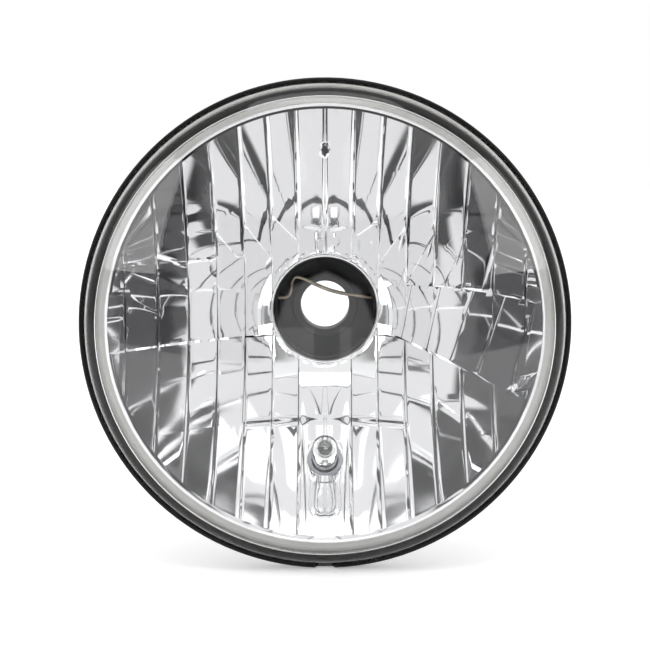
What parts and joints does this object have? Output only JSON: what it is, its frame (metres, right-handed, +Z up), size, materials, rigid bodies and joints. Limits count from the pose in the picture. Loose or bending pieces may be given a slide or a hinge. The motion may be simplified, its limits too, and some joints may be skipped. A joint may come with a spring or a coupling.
{
  "type": "headlight unit",
  "caption": "Round 7 inch headlight unit with a domed clear lens, multi-facet reflector, position lamp and an empty main bulb seat behind a rubber boot.",
  "frame": {"origin": "on the lamp axis, in the plane of the mounting rim", "axes": "-Y is the way the lamp shines, +X is to the right as seen from in front, +Z is up as mounted"},
  "size_m": [0.178, 0.125, 0.178],
  "materials": {
    "lens_glass": "clear, polished",
    "sealant": "matt",
    "black_ring": "gloss black",
    "metallised": "mirror inside",
    "seat_steel": "phosphated",
    "plated_steel": "zinc plated",
    "spring_wire": "plain",
    "black_rubber": "matt",
    "grey_plastic": "satin",
    "bulb_glass": "clear",
    "contact_brass": "plain",
    "lamp_wire": "plain"
  },
  "bodies": {
    "root": {"lens": "lens_glass", "lens_seal": "sealant", "rim_ring": "black_ring", "reflector": "metallised", "bulb_seat": "seat_steel", "seat_screw_1": "plated_steel", "seat_screw_2": "plated_steel", "seat_screw_3": "plated_steel", "clip_bracket": "plated_steel", "bracket_rivet_upper": "plated_steel", "bracket_rivet_lower": "plated_steel", "dust_boot": "black_rubber", "vent_cap": "black_rubber", "park_holder": "grey_plastic", "park_contact_left": "contact_brass", "park_contact_right": "contact_brass", "park_bulb": "bulb_glass", "park_post_left": "lamp_wire", "park_post_right": "lamp_wire", "park_filament": "lamp_wire"},
    "clip": {"bulb_clip": "spring_wire"}
  },
  "joints": [
    {"name": "clip_hinge", "type": "hinge", "parent": "root", "child": "clip", "pos_m": [-0.025, 0.0725, 0], "axis": [0, 0, 1], "range_deg": [0, 12]}
  ]
}
